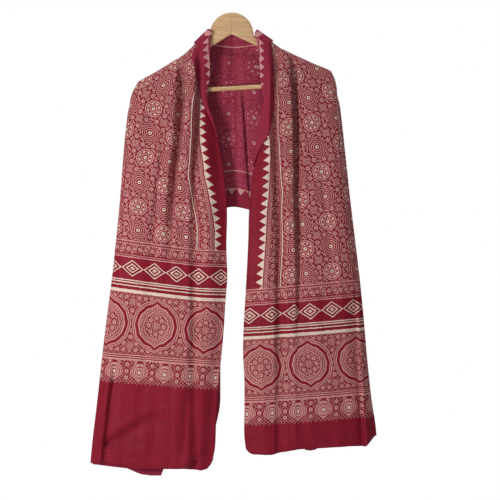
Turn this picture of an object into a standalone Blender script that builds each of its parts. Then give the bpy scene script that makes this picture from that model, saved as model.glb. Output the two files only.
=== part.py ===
"""A block-printed ajrakh stole hung like a shawl over a flat wooden coat hanger.

The origin is the hook seat on top of the hanger's head. X runs along the hanger, Z is up and the front faces -Y.
The stole is built as two halves about its centre back. Each half is a front layer F, a back layer B that hangs
behind it, a wing G folded in between, and a back panel K, all joined by round folds. The edge strip R is turned
outward along the neck, as a lapel in front and a collar behind.
"""

import math

import bmesh
import bpy
import numpy as np

MM = 0.001

# Hanger, in its own frame before it is rolled
ROLL = math.radians(3.4)
HEAD_RADIUS = 50 * MM
BODY_THICK = 12 * MM
BODY_ROUND = 4.5 * MM
ARM_SLOPE = math.radians(28.4)
ARM_TOP = 31 * MM
ARM_UNDER = 49 * MM
ARM_STRAIGHT = 135 * MM
TIP_RADIUS = 24 * MM
TIP_X = 206 * MM
BAR_DROP = 173.7 * MM
BAR_RADIUS = 5 * MM
BAR_REACH = 200 * MM
FIT_GAP = 0.3 * MM

# Stole
CLOTH_THICK = 1.5 * MM
CENTRE_X = 7 * MM
FRONT_Y = -11 * MM
BACK_Y = 11 * MM
PAIR_GAP = 8 * MM
CREST_GAP = 6 * MM
FREE_EDGE = 30 * MM
CREST_DROP = 580 * MM
WING_DROP = 557 * MM
BACK_HEM_DROP = 446 * MM
COLLAR_DROP = 35 * MM
COLLAR_Y = 24 * MM
STEP_DROP = 88 * MM
LAYER_FALL = 26 * MM
ROLL_RADIUS = 2.4 * MM
REST_GAP = 0.6 * MM
CAP_RADIUS = (BACK_Y - FRONT_Y) / 2

# Rows of the grid: from the arm tip to the crest's end, and on to the hem
UPPER_ROWS = 16
LOWER_ROWS = 13
FRONT_COLUMNS = 15
BACK_COLUMNS = 7
WING_COLUMNS = 5
COLLAR_COLUMNS = 4
FOLD_STEPS = 2
STRIP_STEPS = 3

# Each side's outline in mm, measured outward from the cloth's centre line: drop below the hook seat, distance
OUTER = {
    -1: [(167, 222), (178, 228), (201, 237), (247, 244), (339, 253), (431, 260), (523, 269), (615, 279),
         (707, 291), (799, 302), (891, 312), (983, 323), (1034, 328)],
    1: [(143, 228), (155, 233), (178, 238), (201, 242), (247, 248), (339, 258), (431, 268), (523, 279),
        (615, 290), (707, 299), (799, 307), (891, 317), (970, 327), (990, 323)],
}
INNER = {
    -1: [(42, 56), (81, 55), (114, 56), (155, 57), (173, 61), (208, 61), (256, 45), (323, 30), (380, 21),
         (447, 15), (544, 16), (610, 14), (663, 18), (753, 24), (822, 31), (870, 36), (925, 39), (1010, 43),
         (1042, 47)],
    1: [(45, 54), (79, 58), (114, 62), (155, 65), (171, 67), (203, 71), (242, 64), (279, 59), (346, 47),
        (410, 40), (454, 36), (523, 34), (643, 28), (728, 23), (778, 22), (845, 25), (912, 25), (976, 25),
        (1015, 28)],
}
# Where each side's roll line crosses the arm, in mm: distance, how far the cloth stands off the arm there
NECK = {-1: (56, 20), 1: (54, 14)}
NECK_SPREAD = 62 * MM
# How far the lapel's turned edge lies from the roll line, in mm: drop, reach
LAPEL = {
    -1: [(42, 44), (81, 44), (114, 38), (155, 32), (185, 20), (215, 5)],
    1: [(45, 42), (79, 34), (114, 27), (155, 18), (185, 9), (215, 3)],
}
DENT_DROP = {-1: 212 * MM, 1: 188 * MM}
# Soft folds of the front, in mm: side, top distance and drop, bottom distance and drop, half width, rise
FRONT_FOLDS = [
    (-1, 108, 95, 107, 300, 9, -10),
    (-1, 80, 165, 78, 330, 8, -9),
    (-1, 88, 105, 86, 300, 7, 6),
    (-1, 175, 120, 190, 420, 16, 5),
    (-1, 284, 850, 300, 1040, 8, -8),
    (-1, 60, 300, 52, 700, 12, 3),
    (1, 126, 95, 142, 420, 9, 7),
    (1, 148, 110, 164, 420, 9, -8),
    (1, 92, 150, 104, 330, 10, -8),
    (1, 200, 130, 225, 480, 18, 5),
    (1, 262, 620, 297, 1000, 9, -7),
    (1, 284, 640, 312, 1000, 8, 4),
]
# Soft folds of the back panel, in the same columns
BACK_FOLDS = [
    (-1, 0, 60, 4, 430, 9, 4),
    (1, 0, 60, 4, 430, 9, 4),
    (-1, 95, 120, 120, 480, 22, 7),
    (-1, 180, 190, 205, 500, 20, 6),
    (1, 85, 110, 115, 480, 24, 6),
    (1, 175, 180, 210, 500, 18, 7),
]
# The hem's drop below its straight line, in mm: share of the way out from the inner edge, drop
FRONT_HEM = {
    -1: [(0, 0), (0.05, 8), (0.1, 9), (0.25, 5), (0.6, 9), (0.84, 1), (0.91, -6), (0.96, 2), (1, 0)],
    1: [(0, 0), (0.2, 3), (0.4, -4), (0.8, 0), (0.93, 4), (1, 0)],
}
BACK_HEM = {
    -1: [(0, 0), (0.25, 10), (0.5, 18), (0.62, 20), (0.7, 6), (1, 4)],
    1: [(0, 0), (0.35, 6), (0.5, 12), (0.65, 4), (1, 0)],
}

WOOD = (0.58, 0.38, 0.2, 1)
MADDER = (0.27, 0.011, 0.025, 1)


def ease(value):
    """A smooth step from 0 to 1."""
    value = np.clip(value, 0, 1)
    return value * value * (3 - 2 * value)


def along(table, value):
    """The second column of a table where its first column has this value, in metres."""
    table = np.array(table, float) * MM
    at, height = table[:, 0], table[:, 1]
    index = int(np.clip(np.searchsorted(at, value) - 1, 0, len(at) - 2))
    share = float(np.clip((value - at[index]) / (at[index + 1] - at[index]), 0, 1))
    slopes = np.gradient(height, at)
    step = at[index + 1] - at[index]
    cube, square = share**3, share**2
    return (
        (2 * cube - 3 * square + 1) * height[index]
        + (cube - 2 * square + share) * step * slopes[index]
        + (3 * square - 2 * cube) * height[index + 1]
        + (cube - square) * step * slopes[index + 1]
    )


def share_of(table, value):
    """The same for a table whose first column is a share from 0 to 1."""
    table = np.array(table, float)
    return float(np.interp(value, table[:, 0], table[:, 1])) * MM


def arm_angle(side):
    """The slope of an arm once the hanger is rolled."""
    return ARM_SLOPE - side * ROLL


def ridge_top(side, distance):
    """The drop of the cloth's line over the arm."""
    arm_start = side * (ARM_TOP * math.sin(ROLL) - CENTRE_X)
    drop = ARM_TOP * math.cos(ROLL) + (distance - arm_start) * math.tan(arm_angle(side))
    near_neck = 1 - ease((distance - NECK[side][0] * MM) / NECK_SPREAD)
    stand_off = (REST_GAP + CLOTH_THICK / 2) / math.cos(arm_angle(side))
    return drop - stand_off - NECK[side][1] * MM * near_neck


def arm_frame(side):
    """The way down an arm and the way up from it, as distance and drop."""
    angle = arm_angle(side)
    return np.array([math.cos(angle), math.sin(angle)]), np.array([math.sin(angle), -math.cos(angle)])


def folds_at(table, side, distance, drop):
    """How far the soft folds in a table lift the cloth at a place."""
    total = 0.0
    for fold_side, top_a, top_d, low_a, low_d, half_width, rise in table:
        if fold_side != side:
            continue
        share = (drop / MM - top_d) / (low_d - top_d)
        centre = top_a + (low_a - top_a) * share + 4 * math.sin(3 * share)
        across = (distance / MM - centre) / half_width
        fade = ease(1 - max(-share, 0) * 4) * ease(1 - max(share - 0.6, 0) / 0.5)
        total += rise * math.exp(-across * across) * fade
    return total * MM


def front_y(side, distance, drop):
    """The front layer's depth."""
    below = drop - ridge_top(side, distance)
    inner = along(INNER[side], drop)
    outer = along(OUTER[side], max(drop, OUTER[side][0][0] * MM))
    across = (distance - inner) / (outer - inner)
    belly = 10 * MM * ease(across / 0.35) * ease((1 - across) / 0.3) * ease(below / (90 * MM))
    folds = folds_at(FRONT_FOLDS, side, distance, drop) * ease(below / (50 * MM)) * ease((1 - across) / 0.1)
    return FRONT_Y - np.clip(belly + folds, -1 * MM, 24 * MM)


def back_y(side, distance, drop):
    """The back panel's depth, with the step across the centre where the collar's end hangs behind the rest."""
    top = ridge_top(side, distance) if distance > NECK[side][0] * MM else COLLAR_DROP
    below = ease((drop - top) / (60 * MM))
    folds = np.clip(folds_at(BACK_FOLDS, side, distance, drop) + 5 * MM, 0, 20 * MM)
    collar = ease(1 - distance / (110 * MM)) * (1 - 0.7 * ease((drop - STEP_DROP) / (14 * MM)))
    return BACK_Y + (COLLAR_Y - BACK_Y) * collar + folds * below * ease((250 * MM - distance) / (60 * MM))


class Half:
    """One half of the stole, as grids of points that share their borders."""

    def __init__(self, side):
        self.side = side
        self.grids = []
        self.rows = UPPER_ROWS + LOWER_ROWS
        tip_drop = OUTER[side][0][0] * MM
        hem_drop = OUTER[side][-1][0] * MM
        upper = [
            tip_drop + (CREST_DROP - tip_drop) * (row / UPPER_ROWS) ** 1.25 for row in range(UPPER_ROWS)
        ]
        lower = np.linspace(CREST_DROP, hem_drop, LOWER_ROWS + 1)
        self.outer_drop = np.concatenate([upper, lower])
        self.down = (self.outer_drop - tip_drop) / (hem_drop - tip_drop)
        self.dent_row = int(np.argmax(self.outer_drop > DENT_DROP[side])) - 1

    def place(self, distance, y, drop):
        """The world point at a distance from the centre line, a depth and a drop."""
        return (CENTRE_X + self.side * distance, y, -drop)

    def inner_drop(self, row):
        """The inner edge's drop in a row, which fans out from the neck to meet the level rows below."""
        neck = INNER[self.side][0][0] * MM
        hem = INNER[self.side][-1][0] * MM
        tip = OUTER[self.side][0][0] * MM
        last = OUTER[self.side][-1][0] * MM
        share = self.down[row]
        level = self.outer_drop[row] + (hem - last) * share + 12 * MM * math.sin(math.pi * share)
        fan = ease(share / 0.24)
        return level * fan + (neck + (level - tip) * 1.25) * (1 - fan)

    def rim(self, row):
        """The outer fold's base point and its outward direction."""
        drop = self.outer_drop[row]
        point = np.array([along(OUTER[self.side], drop) - self.cap_reach(row), drop])
        ahead = along(OUTER[self.side], drop + 4 * MM) - along(OUTER[self.side], drop)
        outward = np.array([4 * MM, -ahead])
        outward /= np.linalg.norm(outward)
        if row == 0:
            outward = outward + arm_frame(self.side)[1]
            outward /= np.linalg.norm(outward)
        return point, outward

    def folded(self, row):
        """How far the cap over the tip has turned into two separate folds, from 0 to 1."""
        return float(ease((row - self.dent_row) / 2))

    def cap_reach(self, row):
        """How far the outer fold bulges past its base."""
        return CAP_RADIUS + (PAIR_GAP / 2 - CAP_RADIUS) * self.folded(row)

    def ridge_base(self, share):
        """The start of the fold over the arm, at this share of the way from the neck to the tip."""
        neck = NECK[self.side][0] * MM
        distance = neck + (OUTER[self.side][0][1] * MM - neck) * share
        return np.array([distance, ridge_top(self.side, distance)]) - arm_frame(self.side)[1] * CAP_RADIUS

    def front_point(self, row, column):
        """A point of the front layer."""
        across = column / FRONT_COLUMNS
        end, _ = self.rim(row)
        if row == 0:
            flat = self.ridge_base(across)
            flat = flat + (end - self.ridge_base(1)) * ease((across - 0.7) / 0.3)
        else:
            drop_in = self.inner_drop(row)
            start = np.array([along(INNER[self.side], drop_in), drop_in])
            flat = start + (end - start) * across
            straight = self.ridge_base(0) + (self.ridge_base(1) - self.ridge_base(0)) * across
            flat = flat + (self.ridge_base(across) - straight) * max(0, 1 - row / 5)
        if row == self.rows:
            flat[1] += share_of(FRONT_HEM[self.side], across)
        return flat[0], front_y(self.side, flat[0], flat[1]), flat[1]

    def crest_point(self, row):
        """The base point of the inner fold between the back layer and the wing, or the free edge below it."""
        rim, _ = self.rim(row)
        if row >= UPPER_ROWS:
            return np.array([FREE_EDGE, self.outer_drop[row] + LAYER_FALL])
        span = UPPER_ROWS - self.dent_row
        share = max(0, row - self.dent_row) / span
        end = np.array([FREE_EDGE, CREST_DROP + LAYER_FALL])
        return rim + (end - rim) * share

    def pair_depths(self, row, distance):
        """The depths of the back layer and the wing."""
        first = FRONT_Y + PAIR_GAP
        ripple = 3 * MM * math.sin(distance / (26 * MM)) * ease(self.down[row] * 2.5) * ease(
            (self.rim(row)[0][0] - distance) / (50 * MM)
        )
        return first + max(ripple, -2 * MM), first + CREST_GAP + max(ripple, -2 * MM)

    def build_front(self):
        """The front layer, whose first row lies along the arm."""
        grid = []
        for row in range(self.rows + 1):
            points = [self.front_point(row, column) for column in range(FRONT_COLUMNS + 1)]
            grid.append([self.place(*point) for point in points])
        self.grids.append(grid)
        self.front = grid

    def arc(self, base, outward, first_y, last_y, reach, steps):
        """Points of a round fold from one depth to another, bulging outward."""
        middle, radius = (first_y + last_y) / 2, (last_y - first_y) / 2
        points = []
        for step in range(steps + 1):
            angle = math.pi * step / steps
            flat = base + outward * reach * math.sin(angle)
            points.append((flat[0], middle - radius * math.cos(angle), flat[1]))
        return points

    def cap(self, row):
        """The section of the outer fold from the front to the back: two folds and the crest between them."""
        base, outward = self.rim(row)
        first_y = self.front_point(row, FRONT_COLUMNS)[1]
        last_y = back_y(self.side, base[0], base[1])
        whole = self.arc(base, outward, first_y, last_y, self.cap_reach(0), 3 * FOLD_STEPS)
        pair_y, wing_y = self.pair_depths(row, base[0])
        crest = self.crest_point(row)
        near = self.arc(base, outward, first_y, pair_y, PAIR_GAP / 2, FOLD_STEPS)
        far = self.arc(base, outward, wing_y, last_y, PAIR_GAP / 2, FOLD_STEPS)
        crest_pair, crest_wing = self.pair_depths(row, crest[0])
        inner = self.arc(crest, -outward, crest_pair, crest_wing, CREST_GAP / 2, FOLD_STEPS)
        return whole, near, inner, far, self.folded(row)

    def build_fold_rows(self):
        """The outer fold, the back layer, the crest and the wing."""
        near_grid, layer_grid, inner_grid, wing_grid, far_grid = [], [], [], [], []
        for row in range(self.rows + 1):
            whole, near, inner, far, folded = self.cap(row)
            mix = [
                [np.array(w) * (1 - folded) + np.array(p) * folded for w, p in zip(part, other)]
                for part, other in (
                    (whole[: FOLD_STEPS + 1], near),
                    (whole[FOLD_STEPS : 2 * FOLD_STEPS + 1], inner),
                    (whole[2 * FOLD_STEPS :], far),
                )
            ]
            near_grid.append([self.place(*point) for point in mix[0]])
            layer_grid.append(self.layer_row(row, mix[0][-1], mix[1][0]))
            if row <= UPPER_ROWS:
                inner_grid.append([self.place(*point) for point in mix[1]])
                wing_grid.append(self.wing_row(row, mix[1][-1], mix[2][0]))
                far_grid.append([self.place(*point) for point in mix[2]])
        self.grids += [near_grid, layer_grid, inner_grid, wing_grid, far_grid]
        self.far = far_grid

    def layer_row(self, row, start, end):
        """A row of the back layer, from the outer fold to the crest or the free edge."""
        points = []
        for column in range(BACK_COLUMNS + 1):
            share = column / BACK_COLUMNS
            point = start + (end - start) * share
            if 0 < column < BACK_COLUMNS and self.folded(row) > 0:
                point[1] = start[1] + (self.pair_depths(row, point[0])[0] - start[1]) * self.folded(row)
            if row == self.rows:
                point[2] += share_of(BACK_HEM[self.side], 1 - share)
            points.append(self.place(*point))
        return points

    def wing_row(self, row, start, end):
        """A row of the wing, from the crest back out to the outer fold."""
        points = []
        for column in range(WING_COLUMNS + 1):
            share = column / WING_COLUMNS
            point = start + (end - start) * share
            if 0 < column < WING_COLUMNS and self.folded(row) > 0:
                point[1] = start[1] + (self.pair_depths(row, point[0])[1] - start[1]) * self.folded(row)
            points.append(self.place(*point))
        return points

    def build_back(self):
        """The back panel, which fans from the arm and the collar down to its hem."""
        grid = []
        columns = FRONT_COLUMNS + COLLAR_COLUMNS
        tip = self.local(self.far[0][-1])
        neck = self.front_point(0, 0)
        for row in range(UPPER_ROWS + 1):
            side_point = self.local(self.far[row][-1])
            line = []
            for column in range(columns + 1):
                distance, drop = self.top_of_back(column, neck)
                hem_distance = distance * (side_point[0] / tip[0]) ** (distance / tip[0])
                share = self.back_share(row, side_point, tip, column / columns)
                hem = self.hem_of_back(distance / tip[0])
                place = distance + (hem_distance - distance) * share
                low = drop + (hem - drop) * share
                if column == 0:
                    line.append(self.far[row][-1])
                    continue
                line.append(self.place(place, back_y(self.side, place, low), low))
            grid.append(line)
        self.grids.append(grid)
        self.back = grid

    def local(self, point):
        """A placed point back in this half's own terms: distance, depth and drop."""
        return (self.side * (point[0] - CENTRE_X), point[1], -point[2])

    def hem_of_back(self, outward):
        """The back panel's hem, lowest at its sides."""
        return BACK_HEM_DROP + (WING_DROP - BACK_HEM_DROP) * max(0, outward) ** 1.5

    def back_share(self, row, side_point, tip, inward):
        """How far down its panel a row lies: the fold's own rows at the side, even rows at the centre."""
        at_side = (side_point[2] - tip[2]) / (self.local(self.far[UPPER_ROWS][-1])[2] - tip[2])
        return at_side + (row / UPPER_ROWS - at_side) * ease(inward * 1.6)

    def top_of_back(self, column, neck):
        """The place of a column on the back panel's upper edge."""
        if column <= FRONT_COLUMNS:
            point = self.front_point(0, FRONT_COLUMNS - column)
            return point[0], point[2]
        share = (column - FRONT_COLUMNS) / COLLAR_COLUMNS
        return neck[0] * (1 - share), neck[2] + (COLLAR_DROP - neck[2]) * ease(share)

    def build_ridge(self):
        """The fold over the arm, from the neck to the tip."""
        grid = []
        steps = 3 * FOLD_STEPS
        slope = arm_frame(self.side)[1]
        for column in range(FRONT_COLUMNS + 1):
            front = self.local(self.front[0][column])
            back = self.local(self.back[0][FRONT_COLUMNS - column])
            outward = self.rim(0)[1] if column == FRONT_COLUMNS else slope
            base = np.array([front[0], front[2]])
            points = self.arc(base, outward, front[1], back[1], self.cap_reach(0), steps)
            grid.append([self.place(*point) for point in points])
        self.grids.append(grid)
        self.ridge = grid

    def roll_line(self):
        """The neck's roll line from the centre back to the foot of the lapel.

        Each stop has its place, the way the turned strip lies from it, the way it stands out, and its reach.
        """
        stops = []
        columns = FRONT_COLUMNS + COLLAR_COLUMNS
        collar_reach = LAPEL[self.side][0][1] * MM
        neck = NECK[self.side][0] * MM
        fall = ridge_top(self.side, neck + collar_reach * 0.8) - ridge_top(self.side, neck)
        arm = np.array([collar_reach * 0.8, 0, fall])
        arm /= np.linalg.norm(arm)
        for column in range(columns, FRONT_COLUMNS - 1, -1):
            inward = (column - FRONT_COLUMNS) / COLLAR_COLUMNS
            lie = np.array([0, 0, 1]) * inward + arm * (1 - inward)
            stops.append((self.back[0][column], lie, np.array([0, 1, 0]), collar_reach))
        for step in range(3 * FOLD_STEPS - 1, 0, -1):
            angle = math.pi * step / (3 * FOLD_STEPS)
            out = np.array([arm[2] * math.sin(angle), -math.cos(angle), -arm[0] * math.sin(angle)])
            stops.append((self.ridge[0][step], arm, out, collar_reach))
        for row in range(self.rows + 1):
            point = self.local(self.front[row][0])
            if point[2] > LAPEL[self.side][-1][0] * MM:
                break
            turn = ease(row / 4)
            lie = arm * (1 - turn) + np.array([1, 0, -0.05]) * turn
            stops.append((self.front[row][0], lie, np.array([0, -1, 0]), along(LAPEL[self.side], point[2])))
        stops.append((self.front[row][0], np.array([1, 0, 0]), np.array([0, -1, 0]), 0))
        return stops

    def strip_y(self, point, out):
        """The turned strip's depth where it lies over the front or the back."""
        if abs(out[1]) < 0.99:
            return point[1]
        under = front_y if out[1] < 0 else back_y
        return under(self.side, point[0], point[2]) + 2 * ROLL_RADIUS * out[1]

    def build_strip(self):
        """The edge strip turned outward along the roll line."""
        grid = []
        for point, lie, out, reach in self.roll_line():
            lie = lie / np.linalg.norm(lie)
            base = np.array(self.local(point))
            radius = ROLL_RADIUS * (reach > 0)
            line = []
            for step in range(FOLD_STEPS + 1):
                angle = math.pi * step / FOLD_STEPS
                line.append(base - lie * radius * math.sin(angle) + out * radius * (1 - math.cos(angle)))
            for step in range(1, STRIP_STEPS + 1):
                stop = base + lie * reach * step / STRIP_STEPS + out * 2 * radius
                if reach > 0:
                    stop[1] = self.strip_y(stop, out)
                line.append(stop)
            grid.append([self.place(*stop) for stop in line])
        self.grids.append(grid)

    def build(self):
        self.build_front()
        self.build_fold_rows()
        self.build_back()
        self.build_ridge()
        self.build_strip()
        return self.grids


def add_grid(mesh, grid, flipped):
    """Adds one grid of points as quads."""
    verts = [[mesh.verts.new(point) for point in line] for line in grid]
    for upper, lower in zip(verts, verts[1:]):
        for corner in range(len(upper) - 1):
            quad = [upper[corner], upper[corner + 1], lower[corner + 1], lower[corner]]
            mesh.faces.new(quad[::-1] if flipped else quad)


def material(name, colour, roughness):
    made = bpy.data.materials.new(name)
    made.use_nodes = True
    shader = made.node_tree.nodes["Principled BSDF"]
    shader.inputs["Base Color"].default_value = colour
    shader.inputs["Roughness"].default_value = roughness
    return made


def make_object(name, mesh, finish):
    """An object from a bmesh, shaded smooth."""
    data = bpy.data.meshes.new(name)
    mesh.to_mesh(data)
    mesh.free()
    made = bpy.data.objects.new(name, data)
    bpy.context.scene.collection.objects.link(made)
    data.materials.append(finish)
    data.shade_smooth()
    return made


def make_stole():
    mesh = bmesh.new()
    for side in (-1, 1):
        for grid in Half(side).build():
            add_grid(mesh, grid, side > 0)
    bmesh.ops.remove_doubles(mesh, verts=mesh.verts, dist=1e-5)
    bmesh.ops.recalc_face_normals(mesh, faces=mesh.faces)
    stole = make_object("stole", mesh, material("madder_cloth", MADDER, 0.6))
    solid = stole.modifiers.new("thickness", "SOLIDIFY")
    solid.thickness = CLOTH_THICK
    solid.offset = 0
    return stole


def fillet(before, corner, after, radius, steps=5):
    """The points of an arc that rounds a corner."""
    before, corner, after = (np.array(point, float) for point in (before, corner, after))
    first = (before - corner) / np.linalg.norm(before - corner)
    last = (after - corner) / np.linalg.norm(after - corner)
    half = math.acos(float(np.clip(first @ last, -1, 1))) / 2
    middle = (first + last) / np.linalg.norm(first + last)
    centre = corner + middle * radius / math.sin(half)
    start = corner + first * radius / math.tan(half) - centre
    end = corner + last * radius / math.tan(half) - centre
    turn = math.atan2(start[0] * end[1] - start[1] * end[0], start @ end)
    return [
        centre + np.array([
            start[0] * math.cos(turn * step / steps) - start[1] * math.sin(turn * step / steps),
            start[0] * math.sin(turn * step / steps) + start[1] * math.cos(turn * step / steps),
        ])
        for step in range(steps + 1)
    ]


def half_outline():
    """The right half of the hanger's outline, from the head's top round the tip to the underside's peak."""
    slope = math.tan(ARM_SLOPE)
    normal = np.array([math.sin(ARM_SLOPE), math.cos(ARM_SLOPE)])
    head = [
        (HEAD_RADIUS * math.sin(angle), HEAD_RADIUS * (math.cos(angle) - 1))
        for angle in np.radians(np.linspace(6, 92, 15))
    ]
    tip = np.array([TIP_X, -ARM_TOP - TIP_X * slope]) - normal * TIP_RADIUS
    neck = (HEAD_RADIUS, -ARM_TOP - HEAD_RADIUS * slope - 0.5 * MM)
    shoulder = tip + normal * TIP_RADIUS
    knee = (ARM_STRAIGHT, -ARM_UNDER - ARM_STRAIGHT * slope)
    start = math.pi / 2 - ARM_SLOPE
    lobe = [
        tip + TIP_RADIUS * np.array([math.cos(start - turn), math.sin(start - turn)])
        for turn in np.radians(np.linspace(0, 185, 16))
    ]
    peak = (0, -ARM_UNDER)
    outline = head + fillet(head[-1], neck, shoulder, 8 * MM) + lobe
    return outline + fillet(lobe[-1], knee, peak, 40 * MM) + [(3 * MM, -ARM_UNDER - 2.5 * MM)]


def make_hanger():
    right = [tuple(point) for point in half_outline()]
    left = [(-x, z) for x, z in reversed(right)]
    mesh = bmesh.new()
    outline = [mesh.verts.new((x, -BODY_THICK / 2, z)) for x, z in right + [(0, -ARM_UNDER)] + left]
    face = mesh.faces.new(outline)
    moved = bmesh.ops.extrude_face_region(mesh, geom=[face])["geom"]
    bmesh.ops.translate(
        mesh, vec=(0, BODY_THICK, 0), verts=[item for item in moved if isinstance(item, bmesh.types.BMVert)]
    )
    bmesh.ops.recalc_face_normals(mesh, faces=mesh.faces)
    body = make_object("hanger_body", mesh, material("pale_wood", WOOD, 0.45))
    body.rotation_euler = (0, -ROLL, 0)
    rounding = body.modifiers.new("rounded edges", "BEVEL")
    rounding.width = BODY_ROUND
    rounding.segments = 2
    rounding.limit_method = "ANGLE"
    rounding.angle_limit = math.radians(60)
    for side in (-1, 1):
        length = 50 * MM
        centre = side * (BAR_REACH + FIT_GAP - length / 2)
        socket = make_rod(f"socket_{side + 1}", BAR_RADIUS + FIT_GAP, length, centre)
        socket.hide_render = True
        socket.display_type = "WIRE"
        cut = body.modifiers.new("bar socket", "BOOLEAN")
        cut.object = socket
    bar = make_rod("hanger_bar", BAR_RADIUS, 2 * BAR_REACH, 0)
    return body, bar


def make_rod(name, radius, length, centre):
    """A round rod along the hanger's own X, on the bar's line."""
    mesh = bmesh.new()
    bmesh.ops.create_cone(
        mesh, cap_ends=True, segments=20, radius1=radius, radius2=radius, depth=length
    )
    rod = make_object(name, mesh, material(name + "_wood", WOOD, 0.4))
    rod.data.set_sharp_from_angle(angle=math.radians(40))
    rod.rotation_euler = (0, math.pi / 2 - ROLL, 0)
    rod.location = (
        centre * math.cos(ROLL) + BAR_DROP * math.sin(ROLL),
        0,
        centre * math.sin(ROLL) - BAR_DROP * math.cos(ROLL),
    )
    return rod


def main():
    for obj in list(bpy.data.objects):
        bpy.data.objects.remove(obj)
    make_hanger()
    make_stole()


main()
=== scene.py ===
from bisect import bisect_left
from functools import partial
from math import cos, exp, pi, radians, sin, tan

import bmesh
import bpy
import numpy as np
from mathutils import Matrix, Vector


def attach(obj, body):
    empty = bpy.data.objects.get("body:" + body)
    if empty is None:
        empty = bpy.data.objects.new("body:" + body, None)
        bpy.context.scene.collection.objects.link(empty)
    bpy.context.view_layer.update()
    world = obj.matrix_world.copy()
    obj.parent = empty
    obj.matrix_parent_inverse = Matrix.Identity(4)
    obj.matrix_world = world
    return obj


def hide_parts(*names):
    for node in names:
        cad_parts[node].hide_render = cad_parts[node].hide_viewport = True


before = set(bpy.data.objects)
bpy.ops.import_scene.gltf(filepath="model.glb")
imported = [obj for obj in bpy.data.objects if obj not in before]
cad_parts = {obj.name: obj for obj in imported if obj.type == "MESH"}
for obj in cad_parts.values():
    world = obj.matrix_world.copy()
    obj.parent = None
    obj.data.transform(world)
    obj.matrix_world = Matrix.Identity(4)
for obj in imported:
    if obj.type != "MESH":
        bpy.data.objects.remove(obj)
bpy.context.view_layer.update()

# Everything on the stole is worked out in mm: distance from its centre line, drop below the hook seat, depth.

# ---- The hanger's arms, which the stole lies on
ROLL = radians(3.4)
ARM_SLOPE = radians(28.4)
ARM_TOP = 31

# ---- The stole as it hangs
CLOTH_THICK = 0.8
CLOTH_WIDTH = 560
CENTRE_X = 7
FRONT_Y = -11
BACK_Y = 11
PAIR_GAP = 8
CREST_GAP = 6
FREE_EDGE = 30
CREST_DROP = 580
WING_DROP = 557
BACK_HEM_DROP = 446
COLLAR_DROP = 35
COLLAR_Y = 24
STEP_DROP = 88
LAYER_FALL = 26
ROLL_RADIUS = 2.4
CAP_RADIUS = (BACK_Y - FRONT_Y) / 2
NECK_SPREAD = 62
DENT_STEP = 2
# How far the fronts swell, and the least and most that they stand out from their plane
FRONT_SWELL = 15
LIFT_LIMITS = (-1, 26)
# How much deeper the pleat's slot is than its sink, how much higher its flat, and its step's depth in falls
SLOT_DEPTH = 7
FLAT_RAISE = 2
STEP_DEPTH = 2.4
# The tuck across the back, and how far the left tail is drawn away from the opening
TUCK_DEPTH = 8
TAIL_DRAWN_BACK = 24

# Levels run from 0 at the arm to 16 at the end of the inner fold, and on to 29 at the hem
CREST_LEVEL = 16
HEM_LEVEL = 29
LEVELS = [0, 0.5] + list(np.linspace(1, 16, 58)) + list(np.linspace(16, 29, 52))[1:]
CREST_ROW = 59
FRONT_COLUMNS = 84
BACK_COLUMNS = 24
WING_COLUMNS = 14
COLLAR_COLUMNS = 22
FOLD_STEPS = 4
STRIP_STEPS = 9

# Each side's outline: drop, distance
OUTER = {
    -1: [(167, 222), (178, 228), (201, 237), (247, 244), (339, 253), (431, 260), (523, 269), (615, 279),
         (707, 291), (799, 302), (891, 312), (983, 323), (1034, 328)],
    1: [(143, 228), (155, 233), (178, 238), (201, 242), (247, 248), (339, 258), (431, 268), (523, 279),
        (615, 290), (707, 299), (799, 307), (891, 317), (950, 326), (972, 328)],
}
INNER = {
    -1: [(42, 56), (81, 55), (114, 56), (155, 57), (173, 61), (208, 61), (256, 45), (323, 30), (380, 21),
         (447, 15), (544, 16), (610, 14), (663, 18), (753, 24), (822, 31), (870, 36), (925, 39), (1010, 43),
         (1042, 47)],
    1: [(45, 54), (79, 58), (114, 62), (155, 65), (171, 67), (203, 71), (242, 64), (279, 59), (346, 47),
        (410, 40), (454, 36), (523, 34), (643, 28), (728, 23), (778, 22), (845, 25), (912, 25), (976, 25),
        (1015, 28)],
}
# Where each roll line crosses the arm: distance, how far the cloth stands off the arm there
NECK = {-1: (56, 20), 1: (54, 14)}
# The lapel's turned edge: drop, reach from the roll line
LAPEL = {
    -1: [(42, 44), (81, 44), (114, 37), (143, 30), (182, 16), (215, 9), (250, 4), (290, 1)],
    1: [(45, 42), (79, 34), (114, 30), (155, 27), (203, 22), (245, 26), (279, 23), (305, 13), (335, 4),
        (350, 1)],
}
# The pressed pleat beside each lapel: drop, trough, start and edge of its flat, then its sink, rise and fall
PLEAT = {
    -1: [(60, 79, 88, 106, 5, 3, 6), (120, 79, 88, 108, 9, 5, 11), (217, 79, 90, 110, 10, 6, 13),
         (294, 84, 95, 115, 8, 6, 12), (372, 86, 100, 126, 4, 4, 9), (440, 86, 102, 132, 1, 3, 5),
         (520, 86, 104, 136, 0, 1, 2), (620, 86, 104, 136, 0, 0, 0)],
    1: [(60, 95, 110, 126, 5, 4, 5), (152, 96, 115, 130, 9, 6, 9), (240, 93, 118, 135, 9, 8, 10),
        (339, 97, 120, 137, 8, 7, 8), (416, 100, 122, 136, 5, 5, 6), (520, 105, 125, 140, 2, 4, 5),
        (620, 105, 125, 143, 0, 2, 3), (760, 105, 125, 143, 0, 0, 0)],
}
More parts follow.
